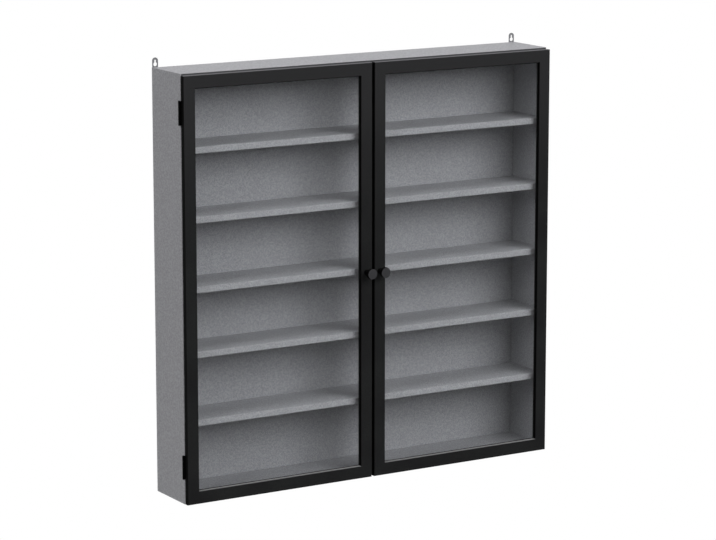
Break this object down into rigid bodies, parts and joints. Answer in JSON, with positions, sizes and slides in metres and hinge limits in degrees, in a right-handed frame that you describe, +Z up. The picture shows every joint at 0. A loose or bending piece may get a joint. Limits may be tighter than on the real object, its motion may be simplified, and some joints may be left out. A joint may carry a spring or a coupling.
{
  "type": "wall cabinet",
  "caption": "Shallow square steel wall cabinet with full-width shelves behind framed glass doors that swing on side barrel hinges, hung from keyhole plates.",
  "frame": {"origin": "midway between the round holes of the two hanger keyholes, on the wall plane", "axes": "+Z up, +Y into the wall, +X to the right seen from the front"},
  "size_m": [1.0118, 0.184, 1.0225],
  "materials": {
    "carcass_grey": "grey powder coat with a fine hammered grain",
    "frame_black": "matt black powder coat",
    "hinge_black": "black lacquered steel",
    "knob_black": "matt black coated metal",
    "clear_glass": "clear float glass",
    "seal_rubber": "black EPDM",
    "zinc_steel": "bright zinc plate",
    "magnet_iron": "bare ferrite"
  },
  "bodies": {
    "carcass": {"left_side_panel": "carcass_grey", "right_side_panel": "carcass_grey", "top_panel": "carcass_grey", "bottom_panel": "carcass_grey", "back_panel": "carcass_grey", "shelf_1": "carcass_grey", "shelf_2": "carcass_grey", "shelf_3": "carcass_grey", "shelf_4": "carcass_grey", "shelf_5": "carcass_grey", "left_hanger_plate": "zinc_steel", "right_hanger_plate": "zinc_steel", "hanger_rivets": "zinc_steel", "left_upper_hinge_carcass_leaf": "hinge_black", "left_upper_hinge_pin": "hinge_black", "left_lower_hinge_carcass_leaf": "hinge_black", "left_lower_hinge_pin": "hinge_black", "right_upper_hinge_carcass_leaf": "hinge_black", "right_upper_hinge_pin": "hinge_black", "right_lower_hinge_carcass_leaf": "hinge_black", "right_lower_hinge_pin": "hinge_black"},
    "left_door": {"left_door_hinge_stile": "frame_black", "left_door_lock_stile": "frame_black", "left_door_top_rail": "frame_black", "left_door_bottom_rail": "frame_black", "left_glazing_seal": "seal_rubber", "left_glass_pane": "clear_glass", "left_pane_clips": "zinc_steel", "left_clip_screws": "zinc_steel", "left_upper_hinge_door_leaf": "hinge_black", "left_lower_hinge_door_leaf": "hinge_black", "left_knob": "knob_black", "left_knob_screw": "zinc_steel", "left_door_magnets": "magnet_iron"},
    "right_door": {"right_door_hinge_stile": "frame_black", "right_door_lock_stile": "frame_black", "right_door_top_rail": "frame_black", "right_door_bottom_rail": "frame_black", "right_glazing_seal": "seal_rubber", "right_glass_pane": "clear_glass", "right_pane_clips": "zinc_steel", "right_clip_screws": "zinc_steel", "right_upper_hinge_door_leaf": "hinge_black", "right_lower_hinge_door_leaf": "hinge_black", "right_knob": "knob_black", "right_knob_screw": "zinc_steel", "right_door_magnets": "magnet_iron"}
  },
  "joints": [
    {"name": "left_door_swing", "type": "hinge", "parent": "carcass", "child": "left_door", "pos_m": [-0.5031, -0.1405, -0.507], "axis": [0, 0, -1], "range_deg": [0, 180]},
    {"name": "right_door_swing", "type": "hinge", "parent": "carcass", "child": "right_door", "pos_m": [0.5031, -0.1405, -0.507], "axis": [0, 0, 1], "range_deg": [0, 180]}
  ]
}
